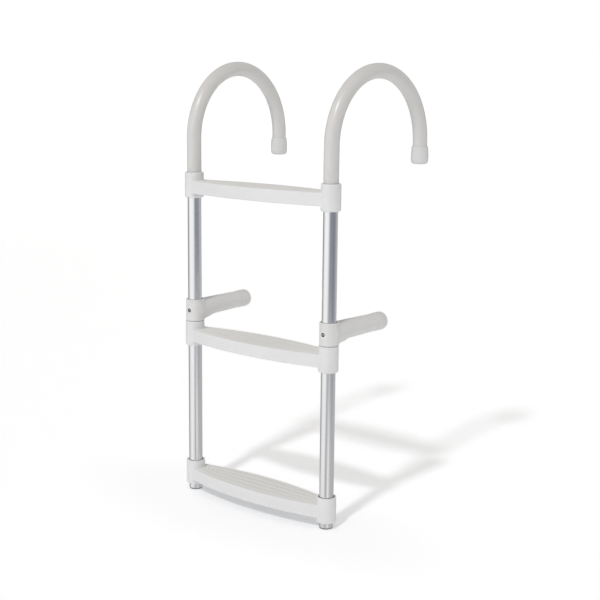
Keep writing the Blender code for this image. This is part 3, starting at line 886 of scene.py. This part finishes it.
def make_tubes():
    """Rails, sleeves, hook caps and foot plugs."""
    cap_inside = CAP_BOTTOM_Z + CAP_FLOOR + GAP
    shoulder = STEP_BASES["top"] + COLLAR_HEIGHT - COUNTERBORE_DEPTH + GAP
    rail = bent_tube("rail_tube", TUBE_RADIUS, TUBE_RADIUS - TUBE_WALL, RAIL_BOTTOM_Z, cap_inside, TUBE_LIP)
    sleeve = bent_tube("hook_sleeve", SLEEVE_RADIUS, SLEEVE_INNER, shoulder, cap_inside, SLEEVE_LIP)
    cap = lofted("hook_cap", cap_outline(), straight, ROUND_SIDES)
    plug = lofted("foot_plug", plug_outline(), straight, PLUG_SIDES)
    for label, side in SIDES.items():
        put(f"{label}_rail_tube", rail, rail_place(side), "ladder_frame", "anodised_aluminium",
            f"{label}_rail")
        put(f"{label}_vinyl_sleeve", sleeve, rail_place(side), "ladder_frame", "sleeve_vinyl",
            f"{label}_hook_sleeve")
        low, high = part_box(f"{label}_hook_cap")
        cap_place = Matrix.Translation(((low.x + high.x) / 2, (low.y + high.y) / 2, low.z))
        put(f"{label}_end_cap", cap, cap_place, "ladder_frame", "cap_plastic", f"{label}_hook_cap")
        put(f"{label}_tube_plug", plug, rail_place(side), "ladder_frame", "plug_plastic",
            f"{label}_foot_plug")


def make_standoffs():
    """Standoffs with their bumpers, nuts and clamp screws."""
    arm, _, _ = field_mesh("standoff_moulding", standoff_field, standoff_grid())
    nut, points, _ = field_mesh("square_nut", nut_field, nut_grid())
    radial = np.hypot(points[:, 0], points[:, 1])
    # Painted shade on the nut's face round its hole, deep inside the clamp hole
    set_attribute(nut, "painted_recess_shade", np.clip((NUT_SHADE_RADIUS - radial) / NUT_SHADE_FADE, 0, 1))
    screw, points, _ = field_mesh("set_screw", set_screw_field, set_screw_grid())
    radial = np.hypot(points[:, 0], points[:, 1])
    # Painted shade on the set screw's chamfer round its bright land, where the hole's walls shade it
    set_attribute(screw, "painted_recess_shade", np.clip((radial - SET_SCREW_LAND) / CRISP, 0, 1))
    tip = lofted("bumper", tip_outline(), straight, ROUND_SIDES)
    for label, side in SIDES.items():
        base = rail_place(side, STANDOFF_BASE)
        forward = base @ Matrix.Translation((0, 0, CLAMP_Z)) @ along((0, -1, 0))
        backward = base @ Matrix.Translation((0, ARM_END, ARM_Z)) @ along((0, 1, 0))
        body = f"{label}_standoff_body"
        put(f"{label}_arm_moulding", arm, base, body, "standoff_plastic", f"{label}_standoff")
        put(f"{label}_bumper", tip, backward, body, "tip_rubber", f"{label}_standoff_tip")
        put(f"{label}_square_nut", nut, forward, body, "brass", f"{label}_clamp_nut")
        put(f"{label}_set_screw", screw, forward, f"{label}_screw_body", "stainless_steel",
            f"{label}_clamp_screw")


# ---------------------------------------------------------------- studio

FLOOR_RADIUS = 9.0
FLAT_RINGS = (1.5, 3.0, 5.0)
WALL_HEIGHT = 2.6
WALL_BEND = 1.6
BEND_STEPS = 12
FLOOR_SIDES = 96
FLOOR_COLOUR = (0.890, 0.90, 0.913, 1.0)
STEP_FLOOR_Y = RAIL_Y - 0.02  # the middle of the painted shade on the floor under the bottom step
DIM_SIDE = (0.985, 0.17, 0.0)  # the direction in which the floor's glow grows dimmer, as painted shade on the floor to that side

# The floor's glow, painted light with painted shade under the step and to one side, each as (measured from,
# measured to, glow at the first, glow at the second)
# Less glow near the bottom step: painted shade on the floor under it
GLOW_SHADED_ROUND_STEP = (0.04, 0.18, 0.174, 0.241)
GLOW_TO_BACK = (-4.0, 4.0, -0.08, 0.22)
GLOW_LOST_AT_BEND = (0, 1, 0, 0.18)
GLOW_LOST_UP_WALL = (1.5, WALL_HEIGHT, 0.0, 0.33)
# Less glow to one side: painted shade on the floor there
GLOW_LOST_ASIDE = (0.7, 3.0, 0.0, 0.15)

KEY_PLACE = (1.504, RAIL_Y - 7.6, 9.62)
KEY_AIM = (0.0, RAIL_Y, 0.3)
KEY_SIZE = 1.04
KEY_POWER = 536.0
KEY_COLOUR = (0.985, 0.99, 1.0)
HORIZON_COLOUR = (0.468, 0.478, 0.494)
CEILING_COLOUR = (0.505, 0.482, 0.455)

CAMERA_PLACE = (1.39532, RAIL_Y - 1.60621, 0.80027)
CAMERA_AZIMUTH = 39
CAMERA_DIP = 10.905
CAMERA_ROLL = 0.626
CAMERA_LENS = 72.41
CAMERA_SENSOR = 36.0

# The reflection ring: (degrees round +Z, brightness, blueness), for glances above and below the horizon
RING_RADIUS = 1.0
RING_SIDES = 72
RING_LOW = -0.4
RING_HIGH = 1.4
RING_BLEND_LOW = -0.15
RING_BLEND_HIGH = 0.28
RING_HIGH_STOPS = [(-180, 0.30, 0.02), (-165, 0.40, 0.02), (-150, 0.80, 0.01), (-133, 1.0, 0.01),
                   (-75, 1.0, 0.02), (-61, 0.62, 0.06), (-43, 0.28, 0.15), (-20, 0.25, 0.25), (8, 0.22, 0.25),
                   (28, 0.32, 0.15), (45, 0.47, 0.06), (75, 0.54, 0.02), (110, 0.45, 0.0), (180, 0.30, 0.02)]
RING_LOW_STOPS = [(-180, 0.38, 0.02), (-165, 0.45, 0.02), (-150, 0.85, 0.0), (-110, 0.95, 0.0),
                  (-79, 0.86, 0.0), (-65, 0.43, 0.0), (-57, 0.43, 0.0), (-41, 0.76, 0.0), (-27, 0.92, 0.0),
                  (-11, 0.66, 0.0), (8, 0.51, 0.0), (35, 0.50, 0.0), (75, 0.49, 0.0), (180, 0.38, 0.02)]


def ring_of_points(bm, radius, height, sides):
    """A level ring of vertices round the origin."""
    turns = [2 * math.pi * k / sides for k in range(sides)]
    return [bm.verts.new((radius * math.cos(turn), radius * math.sin(turn), height)) for turn in turns]


def studio_piece(name, bm):
    """A studio mesh as an object in the scene, shaded smooth."""
    mesh = bpy.data.meshes.new(name)
    bm.to_mesh(mesh)
    bm.free()
    mesh.shade_smooth()
    obj = bpy.data.objects.new(name, mesh)
    bpy.context.scene.collection.objects.link(obj)
    return obj


def floor_glow(tree):
    """The floor's painted glow: less under the step as painted shade, less in front, less to one side as
    painted shade, less up the wall, more behind.
    """
    place = node(tree, "ShaderNodeTexCoord").outputs["Object"]
    values = {"Vector": place, "Location": (0.0, -STEP_FLOOR_Y, 0.0), "Scale": (0.4, 1.0, 1.0)}
    round_step = node(tree, "ShaderNodeMapping", values).outputs[0]
    distance = node(tree, "ShaderNodeVectorMath", {0: round_step}, operation="LENGTH").outputs["Value"]
    parts = node(tree, "ShaderNodeSeparateXYZ", {0: place}).outputs
    aside = node(tree, "ShaderNodeVectorMath", {0: place, 1: DIM_SIDE}, operation="DOT_PRODUCT")
    glow = ranged(tree, distance, *GLOW_SHADED_ROUND_STEP)
    glow = maths(tree, "ADD", glow, ranged(tree, parts["Y"], *GLOW_TO_BACK))
    for value, lost in ((parts["Z"], GLOW_LOST_AT_BEND), (parts["Z"], GLOW_LOST_UP_WALL),
                        (aside.outputs["Value"], GLOW_LOST_ASIDE)):
        glow = maths(tree, "SUBTRACT", glow, ranged(tree, value, *lost))
    return glow


def make_floor():
    """A pale floor that curves up into a wall all round and glows a little as painted light, with painted
    shade under the step and to one side.
    """
    bm = bmesh.new()
    flat_radius = FLOOR_RADIUS - WALL_BEND
    turns = [math.pi / 2 * k / BEND_STEPS for k in range(BEND_STEPS + 1)]
    outline = [(radius, 0.0) for radius in FLAT_RINGS]
    outline += [(flat_radius + WALL_BEND * math.sin(t), WALL_BEND * (1 - math.cos(t))) for t in turns]
    outline.append((FLOOR_RADIUS, WALL_HEIGHT))
    rings = [ring_of_points(bm, radius, height, FLOOR_SIDES) for radius, height in outline]
    centre = bm.verts.new((0, 0, 0))
    for k in range(FLOOR_SIDES):
        bm.faces.new((centre, rings[0][k], rings[0][(k + 1) % FLOOR_SIDES]))
    for lower, upper in zip(rings, rings[1:]):
        for k in range(FLOOR_SIDES):
            m = (k + 1) % FLOOR_SIDES
            bm.faces.new((lower[k], upper[k], upper[m], lower[m]))
    floor = studio_piece("studio_floor", bm)
    floor.visible_glossy = False
    made, tree, shader = surface("studio_floor")
    shader.inputs["Base Color"].default_value = FLOOR_COLOUR
    shader.inputs["Roughness"].default_value = 1.0
    shader.inputs["Specular IOR Level"].default_value = 0.0
    shader.inputs["Emission Color"].default_value = (1.0, 1.0, 1.0, 1.0)
    tree.links.new(floor_glow(tree), shader.inputs["Emission Strength"])
    floor.data.materials.append(made)


def glow_ramp(tree, share, stops):
    """A glow by azimuth, from (degrees, brightness, blueness) stops."""
    ramp = node(tree, "ShaderNodeValToRGB", {"Fac": share})
    ramp.color_ramp.interpolation = "EASE"
    elements = ramp.color_ramp.elements
    for _ in stops[2:]:
        elements.new(0.5)
    for element, (degrees, level, blue) in zip(elements, stops):
        element.position = (degrees + 180) / 360
        element.color = (level, level * (1 + 0.3 * blue), level * (1 + blue), 1.0)
    return ramp.outputs["Color"]


def make_reflection_ring():
    """The studio as the metal mirrors it: a ring that only glossy rays meet, by azimuth and height."""
    bm = bmesh.new()
    low, high = (ring_of_points(bm, RING_RADIUS, z, RING_SIDES) for z in (RING_LOW, RING_HIGH))
    for k in range(RING_SIDES):
        m = (k + 1) % RING_SIDES
        bm.faces.new((low[k], low[m], high[m], high[k]))
    ring = studio_piece("reflection_ring", bm)
    ring.location.y = RAIL_Y
    ring.visible_camera = False
    ring.visible_diffuse = False
    ring.visible_shadow = False
    ring.visible_transmission = False
    made = bpy.data.materials.new("reflection_ring")
    made.use_nodes = True
    tree = made.node_tree
    tree.nodes.clear()
    place = node(tree, "ShaderNodeTexCoord").outputs["Object"]
    parts = node(tree, "ShaderNodeSeparateXYZ", {0: place}).outputs
    turn = maths(tree, "ARCTAN2", parts["Y"], parts["X"])
    share = ranged(tree, turn, -math.pi, math.pi, 0.0, 1.0)
    upper = glow_ramp(tree, share, RING_HIGH_STOPS)
    lower = glow_ramp(tree, share, RING_LOW_STOPS)
    rise = ranged(tree, parts["Z"], RING_BLEND_LOW, RING_BLEND_HIGH, 0.0, 1.0)
    glow = node(tree, "ShaderNodeEmission", {"Color": blended(tree, rise, lower, upper), "Strength": 1.0})
    output = node(tree, "ShaderNodeOutputMaterial")
    tree.links.new(glow.outputs[0], output.inputs["Surface"])
    ring.data.materials.append(made)


def make_light():
    """A key lamp high in front and a little to +X, and a warm dim ceiling over cooler sides."""
    lamp = bpy.data.lights.new("key", "AREA")
    lamp.shape = "DISK"
    lamp.size = KEY_SIZE
    lamp.energy = KEY_POWER
    lamp.color = KEY_COLOUR
    key = bpy.data.objects.new("key", lamp)
    bpy.context.scene.collection.objects.link(key)
    aim = Vector(KEY_AIM) - Vector(KEY_PLACE)
    key.matrix_world = Matrix.Translation(KEY_PLACE) @ aim.to_track_quat("-Z", "Y").to_matrix().to_4x4()
    world = bpy.data.worlds.new("studio")
    bpy.context.scene.world = world
    world.use_nodes = True
    tree = world.node_tree
    direction = node(tree, "ShaderNodeTexCoord").outputs["Generated"]
    height = node(tree, "ShaderNodeSeparateXYZ", {0: direction}).outputs["Z"]
    tone = blended(tree, ranged(tree, height, 0.1, 0.9, 0.0, 1.0), HORIZON_COLOUR, CEILING_COLOUR)
    tree.links.new(tone, tree.nodes["Background"].inputs["Color"])


def make_camera():
    """The camera, from the front right and a little above."""
    lens = bpy.data.cameras.new("camera")
    lens.lens = CAMERA_LENS
    lens.sensor_width = CAMERA_SENSOR
    lens.clip_end = 100.0
    camera = bpy.data.objects.new("camera", lens)
    bpy.context.scene.collection.objects.link(camera)
    turn = Matrix.Rotation(math.radians(CAMERA_AZIMUTH), 4, "Z")
    dip = Matrix.Rotation(math.radians(90 - CAMERA_DIP), 4, "X")
    roll = Matrix.Rotation(math.radians(CAMERA_ROLL), 4, "Z")
    camera.matrix_world = Matrix.Translation(CAMERA_PLACE) @ turn @ dip @ roll
    bpy.context.scene.camera = camera


make_steps()
make_tubes()
make_standoffs()
make_floor()
make_reflection_ring()
make_light()
make_camera()
bpy.context.scene.view_settings.view_transform = "Standard"
